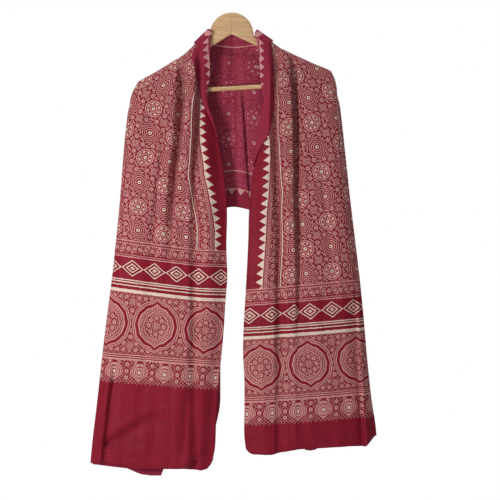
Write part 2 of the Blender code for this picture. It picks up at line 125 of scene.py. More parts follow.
# Sharp creases: side, top drop and distance, low drop and distance, inner and outer width, depth, rise after
CREASES = [
    (1, 590, 277, 1015, 299, 30, 3, 17, 5),
    (-1, 790, 272, 1060, 303, 9, 3, 9, 5),
    (-1, 915, 160, 995, 292, 56, 40, 10, 5),
    (-1, 996, 40, 1048, 108, 24, 20, 7, 3),
    (-1, 230, 150, 520, 185, 26, 12, 3, 2),
    (1, 300, 190, 640, 235, 30, 10, 3, 2),
    (-1, 700, 88, 1000, 112, 26, 14, 2.5, 1),
    (1, 690, 120, 1000, 130, 30, 16, 2.5, 1),
]
# Broad soft folds: side, top distance and drop, low distance and drop, half width, rise
FRONT_FOLDS = [
    (-1, 196, 110, 232, 760, 36, 7), (-1, 60, 300, 52, 700, 12, 3), (-1, 150, 260, 176, 700, 16, 2.5),
    (1, 204, 110, 240, 760, 36, 7), (1, 78, 420, 84, 900, 16, 3), (1, 178, 240, 200, 700, 16, 2.5),
    (-1, 140, 620, 150, 1040, 22, 2.5), (1, 180, 640, 196, 1000, 24, 2.5),
]
BACK_FOLDS = [
    (-1, 0, 60, 4, 430, 9, 4), (1, 0, 60, 4, 430, 9, 4), (-1, 95, 120, 120, 480, 22, 7),
    (-1, 180, 190, 205, 500, 20, 6), (1, 85, 110, 115, 480, 24, 6), (1, 175, 180, 210, 500, 18, 7),
]
# The hem's drop below its straight line: share of the way out, drop
FRONT_HEM = {
    -1: [(0, -14), (0.02, -3), (0.05, 6), (0.1, 9), (0.25, 5), (0.6, 9), (0.84, 1), (0.91, -6), (0.96, 2),
         (1, 0)],
    1: [(0, -14), (0.02, -5), (0.05, 1), (0.2, 7), (0.4, 3), (0.8, 14), (0.92, 20), (1, 0)],
}
BACK_HEM = {
    -1: [(0, -34), (0.38, -14), (0.41, 15), (0.5, 18), (0.6, 17), (0.7, 6), (1, 4)],
    1: [(0, -16), (0.42, 2), (0.46, 20), (0.51, 23), (0.56, 20), (0.62, 2), (1, 0)],
}

# ---- Where the print lies on the hanging cloth
PRINT_SHIFT = 40
# How much higher the left end's bands run than the lean of the print puts them: distance, height
END_BEND = [(17, 6), (79, 2.5), (157, 4.5), (270, 9)]
# How much of the red edge is turned under at the inner edge: drop, width
TURNED_UNDER = {
    -1: [(42, 52), (81, 51), (114, 47), (155, 40), (185, 32), (215, 25), (256, 10), (300, 2), (380, 0),
         (447, 8), (500, 17), (1040, 17)],
    1: [(45, 52), (79, 50), (114, 46), (155, 38), (185, 31), (245, 28), (279, 23), (310, 13), (339, 7),
        (416, 2), (523, 4), (600, 6), (1015, 6)],
}
# Cloth that the pleat's trough and its edge take up: drop, width
TROUGH_TAKES = {
    -1: [(60, 34), (150, 28), (217, 25), (294, 20), (372, 3), (420, 0), (1042, 0)],
    1: [(60, 32), (152, 28), (240, 18), (339, 18), (416, 9), (500, 3), (560, 0), (1015, 0)],
}
EDGE_TAKES = {
    -1: [(60, 72), (158, 64), (217, 53), (294, 45), (351, 37), (430, 18), (517, 4), (600, 0), (1042, 0)],
    1: [(60, 86), (139, 79), (256, 63), (382, 47), (600, 25), (720, 8), (845, 0), (1015, 0)],
}


def ease(value):
    """A smooth step from 0 to 1."""
    value = min(max(value, 0.0), 1.0)
    return value * value * (3 - 2 * value)


class Line:
    """A smooth line through a short table, whose columns are a place and a height."""

    def __init__(self, rows):
        self.at = [float(row[0]) for row in rows]
        self.height = [float(row[1]) for row in rows]
        self.slope = [float(slope) for slope in np.gradient(self.height, self.at)]

    def __call__(self, place):
        index = min(max(bisect_left(self.at, place) - 1, 0), len(self.at) - 2)
        step = self.at[index + 1] - self.at[index]
        share = min(max((place - self.at[index]) / step, 0.0), 1.0)
        cube, square = share**3, share**2
        return (
            (2 * cube - 3 * square + 1) * self.height[index]
            + (cube - 2 * square + share) * step * self.slope[index]
            + (3 * square - 2 * cube) * self.height[index + 1]
            + (cube - square) * step * self.slope[index + 1]
        )


outer_line = {side: Line(OUTER[side]) for side in OUTER}
inner_line = {side: Line(INNER[side]) for side in INNER}
lapel_line = {side: Line(LAPEL[side]) for side in LAPEL}


def unit(vector):
    """A direction's vector, 1 long."""
    return vector / np.linalg.norm(vector)


def straight(rows, place, column=1):
    """A column of a table, straight between its rows."""
    return float(np.interp(place, [row[0] for row in rows], [row[column] for row in rows]))


def arm_angle(side):
    """The slope of an arm once the hanger hangs a little turned."""
    return ARM_SLOPE - side * ROLL


def ridge_top(side, distance):
    """The drop of the cloth's line over the arm."""
    arm_start = side * (ARM_TOP * sin(ROLL) - CENTRE_X)
    drop = ARM_TOP * cos(ROLL) + (distance - arm_start) * tan(arm_angle(side))
    near_neck = 1 - ease((distance - NECK[side][0]) / NECK_SPREAD)
    stand_off = (0.6 + 0.75) / cos(arm_angle(side))
    return drop - stand_off - NECK[side][1] * near_neck


def arm_up(side):
    """The way straight up from an arm, as distance and drop."""
    angle = arm_angle(side)
    return np.array([sin(angle), -cos(angle)])


def soft_folds(table, side, distance, drop):
    """How far the broad folds in a table lift the cloth at a place."""
    total = 0.0
    for fold_side, top_a, top_d, low_a, low_d, half_width, rise in table:
        share = (drop - top_d) / (low_d - top_d)
        if fold_side != side or share < -0.3:
            continue
        centre = top_a + (low_a - top_a) * share + 4 * sin(3 * share)
        across = (distance - centre) / half_width
        if abs(across) > 4:
            continue
        fade = ease(1 - max(-share, 0) * 4) * ease(1 - max(share - 0.6, 0) / 0.5)
        total += rise * exp(-across * across) * fade
    return total


def pleat_at(side, distance, drop):
    """The pleat beside the lapel: a trough, a raised flat and a sharp step down to the cloth behind it."""
    trough, flat, edge, sink, rise, fall = (straight(PLEAT[side], drop, column) for column in range(1, 7))
    slot, top, step = -sink - SLOT_DEPTH, rise + FLAT_RAISE, -fall * STEP_DEPTH
    stops = [
        (trough - 12, 0), (trough - 3, slot), (trough + 3, slot), (flat, top), (edge, top), (edge + 2, step),
        (edge + 5, step), (edge + 24, fall * 0.6), (edge + 74, 0),
    ]
    for (near, low), (far, high) in zip(stops, stops[1:]):
        if near <= distance < far:
            return low + (high - low) * ease((distance - near) / (far - near))
    return 0.0


def creases_at(side, distance, drop):
    """The sharp creases: each sinks slowly from its inner side and springs up on its outer side."""
    total = 0.0
    for crease_side, top_d, top_a, low_d, low_a, inner_width, outer_width, depth, rise in CREASES:
        share = (drop - top_d) / (low_d - top_d)
        if crease_side != side or share < 0:
            continue
        across = distance - (top_a + (low_a - top_a) * share)
        if across < 0:
            lift = -depth * exp(across / inner_width)
        else:
            up = ease(across / outer_width)
            lift = -depth * (1 - up) + rise * up * exp(-max(across - outer_width, 0) / 22)
        total += lift * ease(share / 0.25) * ease((1.08 - share) / 0.1)
    return total


def ripples(side, distance, drop):
    """Small uneven waves that any hanging cloth has, running mostly downward."""
    lean = distance - 0.12 * drop
    return (
        0.7 * sin(lean / 9.1 + 1.3 * sin(drop / 97) + side)
        + 0.5 * sin(lean / 5.3 + drop / 140 + 2 * side)
        + 0.5 * sin(drop / 31 + 1.7 * sin(distance / 43) + 3 * side)
        + 0.3 * sin(drop / 12.7 + distance / 21)
    )


def front_y(side, distance, drop):
    """The front layer's depth."""
    below = drop - ridge_top(side, distance)
    inner = inner_line[side](drop)
    outer = outer_line[side](max(drop, OUTER[side][0][0]))
    across = (distance - inner) / (outer - inner)
    belly = FRONT_SWELL * ease(across / 0.16) * ease((1 - across) / 0.08) * ease(below / 90)
    shape = soft_folds(FRONT_FOLDS, side, distance, drop) + pleat_at(side, distance, drop)
    shape += creases_at(side, distance, drop)
    shape *= ease(below / 45) * ease((1 - across) / 0.06)
    small = ripples(side, distance, drop) * ease(below / 60)
    small *= ease((1 - across) / 0.1) * ease(across / 0.05)
    return FRONT_Y - min(max(belly + shape + small, LIFT_LIMITS[0]), LIFT_LIMITS[1])


def back_y(side, distance, drop):
    """The back panel's depth, with the tuck in the middle where the collar's end hangs behind the rest."""
    top = ridge_top(side, distance) if distance > NECK[side][0] else COLLAR_DROP
    below = ease((drop - top) / 60)
    folds = min(max(soft_folds(BACK_FOLDS, side, distance, drop) + 5, 0), 20)
    small = 0.8 * ripples(1, side * distance, drop) * below * ease((230 - distance) / 60)
    tuck_at = 17 + 0.07 * (drop - 190)
    if side > 0 and distance > tuck_at:
        tuck = TUCK_DEPTH * ease((distance - tuck_at) / 4) * exp((tuck_at - distance) / 45)
        small += tuck * ease((drop - 150) / 60) * ease((440 - drop) / 40)
    collar = ease(1 - distance / 110) * (1 - 0.7 * ease((drop - STEP_DROP) / 9))
    return BACK_Y + (COLLAR_Y - BACK_Y) * collar + folds * below * ease((250 - distance) / 60) + small


def front_print(side, distance, drop):
    """Where a place on the front lies on the flat cloth: length from the middle, width from the edge."""
    inner = inner_line[side](drop)
    lean = 0.065 + 0.185 * exp(-(drop - 170) / 220)
    level = drop + lean * (distance - inner)
    if side < 0:
        level += straight(END_BEND, distance) * ease((drop - 400) / 120) * ease((800 - drop) / 200)
    length = 57 + level - INNER[side][0][0]
    trough, edge = straight(PLEAT[side], drop, 1), straight(PLEAT[side], drop, 3)
    taken = straight(TROUGH_TAKES[side], drop) * ease((distance - trough + 6) / 16)
    taken += straight(EDGE_TAKES[side], drop) * ease((distance - edge + 1) / 9)
    width = straight(TURNED_UNDER[side], drop) + (distance - inner) * (1 + lean * lean / 2) + taken
    return length, width


def hem_of_back(outward):
    """The back panel's hem, lowest at its sides."""
    return BACK_HEM_DROP + (WING_DROP - BACK_HEM_DROP) * max(0.0, outward) ** 1.5


def arc(base, outward, first_y, last_y, reach, steps, first_print, last_print):
    """Stops of a round fold from one depth to another."""
    middle, radius = (first_y + last_y) / 2, (last_y - first_y) / 2
    stops = []
    for step in range(steps + 1):
        angle = pi * step / steps
        flat = base + outward * reach * sin(angle)
        spot = first_print + (last_print - first_print) * step / steps
        stops.append(np.array([flat[0], middle - radius * cos(angle), flat[1], *spot]))
    return stops


class Half:
    """One half of the stole, as grids of stops that share their borders.

    A stop is distance, depth, drop, and then the length and width at which it lies on the flat cloth.
    """

    def __init__(self, side):
        self.side = side
        self.inner, self.outer, self.neck = inner_line[side], outer_line[side], NECK[side][0]
        self.tip_drop = OUTER[side][0][0]
        self.hem_drop = OUTER[side][-1][0]
        self.grids = {}

    def drop_at(self, level):
        """The outer edge's drop at a level."""
        if level <= CREST_LEVEL:
            return self.tip_drop + (CREST_DROP - self.tip_drop) * (level / CREST_LEVEL) ** 1.25
        share = (level - CREST_LEVEL) / (HEM_LEVEL - CREST_LEVEL)
        return CREST_DROP + (self.hem_drop - CREST_DROP) * share

    def down(self, level):
        return (self.drop_at(level) - self.tip_drop) / (self.hem_drop - self.tip_drop)

    def inner_drop(self, level):
        """The inner edge's drop at a level, fanned out from the neck."""
        neck, hem = INNER[self.side][0][0], INNER[self.side][-1][0]
        share = self.down(level)
        even = self.drop_at(level) + (hem - self.hem_drop) * share + 12 * sin(pi * share)
        fan = ease(share / 0.24)
        return even * fan + (neck + (even - self.tip_drop) * 1.25) * (1 - fan)

    def folded(self, level):
        """How far the cap over the arm's tip has turned into two folds."""
        return ease((level - DENT_STEP) / 2)

    def cap_reach(self, level):
        return CAP_RADIUS + (PAIR_GAP / 2 - CAP_RADIUS) * self.folded(level)

    def rim(self, level):
        """The outer fold's base and its outward direction."""
        drop = self.drop_at(level)
        edge = self.outer(drop)
        outward = unit(np.array([4, edge - self.outer(drop + 4)]))
        if level == 0:
            outward = unit(outward + arm_up(self.side))
        return np.array([edge - self.cap_reach(level), drop]), outward

    def ridge_base(self, share):
        """The start of the fold over the arm, at this share of the way from the neck to the tip."""
        distance = self.neck + (OUTER[self.side][0][1] - self.neck) * share
        return np.array([distance, ridge_top(self.side, distance)]) - arm_up(self.side) * CAP_RADIUS

    def front_place(self, level, across):
        """Distance and drop of a place on the front layer."""
        end, _ = self.rim(level)
        if level == 0:
            flat = self.ridge_base(across)
            return flat + (end - self.ridge_base(1)) * ease((across - 0.7) / 0.3)
        if level < 1:
            return self.front_place(0, across) * (1 - level) + self.front_place(1, across) * level
        drop_in = self.inner_drop(level)
        start = np.array([self.inner(drop_in), drop_in])
        even = self.ridge_base(0) + (self.ridge_base(1) - self.ridge_base(0)) * across
        flat = start + (end - start) * across + (self.ridge_base(across) - even) * max(0, 1 - level / 5)
        near_hem = ease((self.down(level) - 0.94) / 0.06)
        return flat + np.array([0, straight(FRONT_HEM[self.side], across) * near_hem])

    def front_stop(self, level, across):
        distance, drop = self.front_place(level, across)
        return np.array(
            [distance, front_y(self.side, distance, drop), drop, *front_print(self.side, distance, drop)]
        )

    def crest(self, level):
        """The inner fold between the back layer and the wing, or the free edge below it."""
        rim, _ = self.rim(level)
        if level >= CREST_LEVEL:
            drawn_back = TAIL_DRAWN_BACK * ease((level - 24) / 4) if self.side < 0 else 0
            return np.array([FREE_EDGE + drawn_back, self.drop_at(level) + LAYER_FALL]), 1.0
        share = max(0, level - DENT_STEP) / (CREST_LEVEL - DENT_STEP)
        return rim + (np.array([FREE_EDGE, CREST_DROP + LAYER_FALL]) - rim) * share, share

    def pair_depths(self, level, distance):
        """The depths of the back layer and the wing."""
        first = FRONT_Y + PAIR_GAP
        ripple = 3 * sin(distance / 26) * ease(self.down(level) * 2.5)
        ripple *= ease((self.rim(level)[0][0] - distance) / 50)
        return first + max(ripple, -2), first + CREST_GAP + max(ripple, -2)

    def cap(self, level):
        """The section of the outer fold from the front to the back: two folds and the crest between them."""
        base, outward = self.rim(level)
        front = self.front_stop(level, 1)
        last_y = back_y(self.side, base[0], base[1])
        crest, share = self.crest(level)
        round_fold = np.array([0, pi * PAIR_GAP / 2])
        edge = front[3:] + round_fold
        at_crest = np.array([edge[0], edge[1] + (CLOTH_WIDTH - edge[1]) * share])
        back = self.back_print(base[0], base[1])
        half = (front[3:] + back) / 2
        whole = arc(base, outward, front[1], last_y, self.cap_reach(0), 3 * FOLD_STEPS, front[3:], back)
        pair_y, wing_y = self.pair_depths(level, base[0])
        near = arc(base, outward, front[1], pair_y, PAIR_GAP / 2, FOLD_STEPS, front[3:], edge)
        far = arc(base, outward, wing_y, last_y, PAIR_GAP / 2, FOLD_STEPS, back - round_fold, back)
        crest_pair, crest_wing = self.pair_depths(level, crest[0])
        at_wing = at_crest * share + half * (1 - share)
        inner = arc(crest, -outward, crest_pair, crest_wing, CREST_GAP / 2, FOLD_STEPS, at_crest, at_wing)
        folded = self.folded(level)
        parts = (
            (whole[: FOLD_STEPS + 1], near),
            (whole[FOLD_STEPS: 2 * FOLD_STEPS + 1], inner),
            (whole[2 * FOLD_STEPS:], far),
        )
        return [[w * (1 - folded) + p * folded for w, p in zip(part, other)] for part, other in parts]

    def between(self, level, start, end, columns, layer, hem=None):
        """A row of the back layer or the wing, from one fold to the other."""
        row = []
        for column in range(columns + 1):
            share = column / columns
            stop = start + (end - start) * share
            if 0 < column < columns and self.folded(level) > 0:
                depth = self.pair_depths(level, stop[0])[layer]
                stop[1] = start[1] + (depth - start[1]) * self.folded(level)
            if hem:
                stop[2] += straight(hem, 1 - share) * ease((self.down(level) - 0.94) / 0.06)
            row.append(stop)
        return row

    def build_front(self):
        """The front layer, the outer folds, the back layer, the crest and the wing."""
        names = ("front", "near_fold", "layer", "crest_fold", "wing", "far_fold")
        rows = {name: [] for name in names}
        for index, level in enumerate(LEVELS):
            rows["front"].append([
                self.front_stop(level, column / FRONT_COLUMNS) for column in range(FRONT_COLUMNS + 1)
            ])
            if 0 < level < 1:
                low, high = self.cap(0), self.cap(1)
                near, crest, far = (
                    [a * (1 - level) + b * level for a, b in zip(first, last)]
                    for first, last in zip(low, high)
                )
                near[0] = rows["front"][-1][-1]
            else:
                near, crest, far = self.cap(level)
            rows["near_fold"].append(near)
            end = crest[0]
            if level > CREST_LEVEL:
                end = np.array([*end[:3], near[-1][3], CLOTH_WIDTH])
            rows["layer"].append(self.between(level, near[-1], end, BACK_COLUMNS, 0, BACK_HEM[self.side]))
            if level <= CREST_LEVEL:
                rows["crest_fold"].append(crest)
                rows["wing"].append(self.between(level, crest[-1], far[0], WING_COLUMNS, 1))
                rows["far_fold"].append(far)
        self.grids.update(rows)

    def back_print(self, distance, drop):
        """Where a place on the back panel lies on the flat cloth, matched to the front over the arm."""
        tip = OUTER[self.side][0][1]
        hidden = CLOTH_WIDTH - 44 - (hem_of_back(distance / tip) - COLLAR_DROP)
        width = 44 + (drop - COLLAR_DROP) + hidden * ease((drop - STEP_DROP) / 20)
        length = distance + self.side * 24 * ease(1 - distance / 200)
        near_neck = ease(distance / 120)
        blend_drop = 120 + 240 * ease((distance - 50) / 130)
        top = ridge_top(self.side, max(distance, self.neck)) + CAP_RADIUS
        over = front_print(self.side, max(distance, self.neck), top)
        fade = ease(1 - (drop - top) / blend_drop) * near_neck
        length += (over[0] - 24 - length) * fade
        top_width = 44 + (top - COLLAR_DROP) + hidden * ease((top - STEP_DROP) / 20)
        width += (over[1] + 26 - top_width) * fade
        return np.array([length, width])

    def build_back(self):
        """The back panel, which fans from the arm and the collar down to its hem."""
        columns = FRONT_COLUMNS + COLLAR_COLUMNS
        far = self.grids["far_fold"]
        tip, low = far[0][-1], far[CREST_ROW][-1]
        neck = self.grids["front"][0][0]
        grid = []
        for row, level in enumerate(LEVELS[: CREST_ROW + 1]):
            side_stop = far[row][-1]
            at_side = (side_stop[2] - tip[2]) / (low[2] - tip[2])
            line = [side_stop]
            for column in range(1, columns + 1):
                if column <= FRONT_COLUMNS:
                    top = self.grids["front"][0][FRONT_COLUMNS - column]
                    distance, drop = top[0], top[2]
                else:
                    inward = (column - FRONT_COLUMNS) / COLLAR_COLUMNS
                    distance = neck[0] * (1 - inward)
                    drop = neck[2] + (COLLAR_DROP - neck[2]) * ease(inward)
                share = at_side + (level / CREST_LEVEL - at_side) * ease(column / columns * 1.6)
                spread = (side_stop[0] / tip[0]) ** (distance / tip[0])
                place = distance * (1 + (spread - 1) * share)
                fall = drop + (hem_of_back(distance / tip[0]) - drop) * share
                spot = self.back_print(place, fall)
                line.append(np.array([place, back_y(self.side, place, fall), fall, *spot]))
            grid.append(line)
        self.grids["back"] = grid

    def build_ridge(self):
        """The fold over the arm, from the neck to the tip."""
        grid = []
        for column in range(FRONT_COLUMNS + 1):
            front = self.grids["front"][0][column]
            back = self.grids["back"][0][FRONT_COLUMNS - column]
            outward = self.rim(0)[1] if column == FRONT_COLUMNS else arm_up(self.side)
            base = np.array([front[0], front[2]])
            grid.append(
                arc(base, outward, front[1], back[1], CAP_RADIUS, 3 * FOLD_STEPS, front[3:], back[3:])
            )
        self.grids["ridge"] = grid

    def roll_line(self):
        """The neck's roll line: stop, the way the turned strip lies, the way it stands out, and its reach."""
        collar_reach = LAPEL[self.side][0][1]
        rise = ridge_top(self.side, self.neck + collar_reach * 0.8) - ridge_top(self.side, self.neck)
        arm = unit(np.array([collar_reach * 0.8, 0, rise]))
        stops = []
        for column in range(FRONT_COLUMNS + COLLAR_COLUMNS, FRONT_COLUMNS - 1, -1):
            inward = (column - FRONT_COLUMNS) / COLLAR_COLUMNS
            lie = np.array([0, 0, 1]) * inward + arm * (1 - inward)
            stops.append((self.grids["back"][0][column], lie, np.array([0, 1, 0]), collar_reach))
        for step in range(3 * FOLD_STEPS - 1, 0, -1):
            angle = pi * step / (3 * FOLD_STEPS)
            out = np.array([arm[2] * sin(angle), -cos(angle), -arm[0] * sin(angle)])
            stops.append((self.grids["ridge"][0][step], arm, out, collar_reach))
        for level, row in zip(LEVELS, self.grids["front"]):
            stop = row[0]
            if stop[2] > LAPEL[self.side][-1][0]:
                break
            turn = ease(level / 4)
            lie = arm * (1 - turn) + np.array([1, 0, -0.05]) * turn
            stops.append((stop, lie, np.array([0, -1, 0]), lapel_line[self.side](stop[2])))
        stops.append((stop, np.array([1, 0, 0]), np.array([0, -1, 0]), 0))
        return stops

    def build_strip(self):
        """The edge strip turned outward along the roll line, its free edge lifting a little."""
        grid = []
        for stop, lie, out, reach in self.roll_line():
            lie = unit(lie)
            base, radius = stop[:3], ROLL_RADIUS * (reach > 0)
            line = []
            for step in range(FOLD_STEPS + 1):
                angle = pi * step / FOLD_STEPS
                point = base - lie * radius * sin(angle) + out * radius * (1 - cos(angle))
                line.append(np.array([*point, stop[3], stop[4] * (1 - 0.08 * step / FOLD_STEPS)]))
            for step in range(1, STRIP_STEPS + 1):
                share = step / STRIP_STEPS
                point = base + lie * reach * share + out * 2 * radius
                if reach > 0 and abs(out[1]) > 0.99:
                    under = front_y if out[1] < 0 else back_y
                    swell = 2 * ROLL_RADIUS + 1.6 * sin(pi * share) - 2.2 * share
                    point[1] = under(self.side, point[0], point[2]) + swell * out[1]
                line.append(np.array([*point, stop[3], stop[4] * 0.92 * (1 - share)]))
            grid.append(line)
        self.grids["strip"] = grid

    def build(self):
        self.build_front()
        self.build_back()
        self.build_ridge()
        self.build_strip()
        return self.grids


# ---- The stole's mesh: a right side and a wrong side 0.8 mm apart, closed at the edges
def lay_out(sizes, gap=0.004):
    """Places rectangles on shelves in a unit square, and gives the corner of each and the scale of all."""
    order = sorted(range(len(sizes)), key=lambda index: -sizes[index][1])
    for tries in range(60):
        scale = 1.1 * 0.97**tries
        spots, x, y, shelf = {}, gap, gap, 0
        for index in order:
            width, height = sizes[index][0] * scale, sizes[index][1] * scale
            if x + width + gap > 1:
                x, y, shelf = gap, y + shelf + gap, 0
            spots[index] = (x, y)
            x, shelf = x + width + gap, max(shelf, height)
        if y + shelf + gap <= 0.965:
            break
    return spots, scale


def bring_in(name, data):
    """A new object of this data in the scene."""
    made = bpy.data.objects.new(name, data)
    bpy.context.scene.collection.objects.link(made)
    return made


def make_stole(finishes):
    """The stole as one closed mesh, with the print's own coordinates and a second layout for baking.

    Its finishes are those of the right side, the wrong side and the edge.
    """
    sheet = bmesh.new()
    spot = sheet.loops.layers.uv.new("Print")
    bake = sheet.loops.layers.uv.new("OFBake")
    patch_of = sheet.faces.layers.int.new("patch")
    patches, sizes = [], []
    for side in (-1, 1):
        for name, grid in Half(side).build().items():
            patches.append((side, name, grid))
            middle = np.array(grid)[:, :, :3]
            across = np.linalg.norm(np.diff(middle, axis=1), axis=2).sum(axis=1).max() / 1000
            along = np.linalg.norm(np.diff(middle, axis=0), axis=2).sum(axis=0).max() / 1000
            sizes.append((across, along))
    spots, scale = lay_out(sizes + [(a * 0.5, b * 0.5) for a, b in sizes])
    for index, (side, name, grid) in enumerate(patches):
        verts = [
            [sheet.verts.new(((CENTRE_X + side * s[0]) / 1000, s[1] / 1000, -s[2] / 1000)) for s in row]
            for row in grid
        ]
        flipped = side < 0 if name == "strip" else side > 0
        rows, columns = len(grid) - 1, len(grid[0]) - 1
        for row in range(rows):
            for column in range(columns):
                corners = [(row, column), (row, column + 1), (row + 1, column + 1), (row + 1, column)]
                if flipped:
                    corners.reverse()
                face = sheet.faces.new([verts[r][c] for r, c in corners])
                face[patch_of] = index
                for loop, (r, c) in zip(face.loops, corners):
                    stop = grid[r][c]
                    loop[spot].uv = ((side * stop[3] - PRINT_SHIFT) / 1000, stop[4] / 1000)
                    loop[bake].uv = (c / columns, r / rows)
    bmesh.ops.remove_doubles(sheet, verts=sheet.verts, dist=1e-5)
    bmesh.ops.dissolve_degenerate(sheet, edges=sheet.edges, dist=1e-5)
    sheet.normal_update()
    sheet.verts.index_update()
    count = len(sheet.verts)
    half = CLOTH_THICK / 2000
    points = [vert.co + vert.normal * half for vert in sheet.verts]
    points += [vert.co - vert.normal * half for vert in sheet.verts]
    faces, prints, bakes, slots = [], [], [], []
    for face in sheet.faces:
        loops = list(face.loops)
        patch = face[patch_of]
        for layer, order in ((0, loops), (1, loops[::-1])):
            corner = spots[patch + layer * len(patches)]
            width, height = (size * scale * (0.5 if layer else 1) for size in sizes[patch])
            faces.append([loop.vert.index + layer * count for loop in order])
            prints += [tuple(loop[spot].uv) for loop in order]
            bakes += [
                (corner[0] + loop[bake].uv[0] * width, corner[1] + loop[bake].uv[1] * height)
                for loop in order
            ]
            slots.append(layer)
    rims = [edge for edge in sheet.edges if len(edge.link_faces) == 1]
    per_row = 160
    cell, step = 1 / per_row, 0.0031
    for index, edge in enumerate(rims):
        loop = edge.link_loops[0]
        first, last = loop.vert.index, loop.link_loop_next.vert.index
        faces.append([last, first, first + count, last + count])
        uvs = [tuple(loop.link_loop_next[spot].uv), tuple(loop[spot].uv)]
        prints += [uvs[0], uvs[1], uvs[1], uvs[0]]
        x, y = (index % per_row + 0.1) * cell, 0.968 + (index // per_row) * step
        high = y + 0.84 * step
        bakes += [(x + cell * 0.7, y), (x, y), (x, high), (x + cell * 0.7, high)]
        slots.append(2)
    sheet.free()
    data = bpy.data.meshes.new("stole_cloth")
    data.from_pydata(points, [], faces)
    for name, uvs in (("Print", prints), ("OFBake", bakes)):
        layer = data.uv_layers.new(name=name)
        layer.data.foreach_set("uv", np.array(uvs, np.float32).ravel())
    data.polygons.foreach_set("material_index", slots)
    data.update()
    for finish in finishes:
        data.materials.append(finish)
    data.shade_smooth()
    return bring_in("stole_cloth", data)


# ---- Materials
def paint(code):
    """A colour from its sRGB hex code, turned to linear."""
    parts = [int(code[place:place + 2], 16) / 255 for place in (1, 3, 5)]
    return tuple(c / 12.92 if c <= 0.04045 else ((c + 0.055) / 1.055) ** 2.4 for c in parts) + (1,)


def join(source, socket):
    """Links a node, or a node and an output's name, to a socket."""
    node, name = source if isinstance(source, tuple) else (source, None)
    output = next(output for output in node.outputs if output.enabled and name in (None, output.name))
    node.id_data.links.new(output, socket)


def add(tree, kind, *values, sockets=None, stops=None, reach=1, **settings):
    """Adds one node, with its settings and links.

    Its values go to its open inputs in order: a number, a node, or a node and an output's name. A kind in
    capitals is an operation of the maths node, and others may end with an operation or a type of data. The
    stops are a ramp's (place, colour), with places up to reach.
    """
    family, _, choice = ("Math " + kind if kind.isupper() else kind).partition(" ")
    made = tree.nodes.new("ShaderNode" + family)
    if choice:
        settings["data_type" if family == "Mix" else "operation"] = choice
    for name, value in settings.items():
        setattr(made, name, value)
    if stops:
        made.color_ramp.interpolation = "CONSTANT"
        for place, colour in stops[1:-1]:
            made.color_ramp.elements.new(place / reach)
        for element, (place, colour) in zip(made.color_ramp.elements, stops):
            element.position = place / reach
            element.color = colour
    pairs = list(zip([socket for socket in made.inputs if socket.enabled], values))
    pairs += [(made.inputs[name], value) for name, value in (sockets or {}).items()]
    for socket, value in pairs:
        if isinstance(value[0] if isinstance(value, tuple) else value, bpy.types.Node):
            join(value, socket)
        else:
            socket.default_value = value
    return made


def start_material(name, values):
    """A new material with these values on its shader, the shader's inputs, and a function to add nodes."""
    made = bpy.data.materials.new(name)
    made.use_nodes = True
    shader = made.node_tree.nodes["Principled BSDF"]
    for socket, value in values.items():
        shader.inputs[socket].default_value = value
    return made, shader.inputs, partial(add, made.node_tree)


# What a place on the cloth holds, one channel for each block: kept pale, kept cream, or printed dark
GROUND = (0, 0, 0, 1)
PALE = (1, 0, 0, 1)
CREAM = (0, 1, 0, 1)
DARK = (0, 0, 1, 1)
CLEAR = (0, 0, 0, 0)

# The whole block print is one node group: a place on the flat cloth in mm in, the blocks' channels out
blocks = bpy.data.node_groups.new("ajrakh blocks", "ShaderNodeTree")
put = partial(add, blocks)


def lines(colour, *edges):
    """Lines of a colour with red between them, from where each starts and ends."""
    return [(place, (colour, GROUND)[index % 2]) for index, place in enumerate(edges)]


# Rings of the motifs, outward in mm, most lines drawn at least 1.8 mm wide so that they show
ROUNDEL = [(0, DARK), *lines(CREAM, 1.4, 3.8), *lines(PALE, 6.2, 15.2, 17, 19.4), (21.4, CLEAR), (40, CLEAR)]
ROSETTE = [
    (0, DARK), *lines(CREAM, 1.5, 3.9), *lines(PALE, 7, 8.8, 11.7, 13.5, 16.2, 17.8), (19.8, CLEAR),
    (40, CLEAR),
]
BLOSSOM = [(0, DARK), *lines(PALE, 1.3, 4.5), (6.8, CLEAR), (20, CLEAR)]
LEAFY = [(0, DARK), *lines(PALE, 1.8, 5, 7, 8.6), (10.4, CLEAR), (20, CLEAR)]
SPRAY = [(0, GROUND), *lines(PALE, 1, 4.2), (5.8, CLEAR), (20, CLEAR)]
SWIRL = [*lines(PALE, 0, 2.4, 4.2, 6), (7.4, CLEAR), (20, CLEAR)]
DIAMOND = [(0, GROUND), *lines(CREAM, 0.06, 0.2, 0.42, 0.58), (0.86, CREAM), (1, CLEAR), (2, CLEAR)]
MEDALLION = [
    (0, CLEAR), (24.6, GROUND), *lines(PALE, 26.4, 28.8, 33.2, 35.6, 37.4, 40.8, 47.8, 50.2, 52, 54.6),
    (56, CLEAR), (80, CLEAR),
]
LOTUS = [*lines(CREAM, 0, 3), *lines(PALE, 4.8, 8.6, 10.4, 15, 17, 20, 22, 25.2), (29, CLEAR), (60, CLEAR)]
# Stripes across the ends, by distance from the end of the field, and along the edges, by distance from them
END_STRIPES = [
    *lines(PALE, 0, 2.2, 3.4, 7.8, 28.4, 32.8, 34, 36.2),
    *lines(CREAM, 84.6, 87, 90.8, 93.2, 96.8, 99.2, 106, 113.6),
    *lines(PALE, 246, 248.4, 249.8, 252.2, 253.6, 256, 257.4, 259.6), (600, GROUND),
]
EDGE_STRIPES = [
    (0, GROUND), *lines(PALE, 46, 47.8, 49.2, 53.4, 76.6, 80.8), *lines(CREAM, 83, 85), (300, GROUND),
]

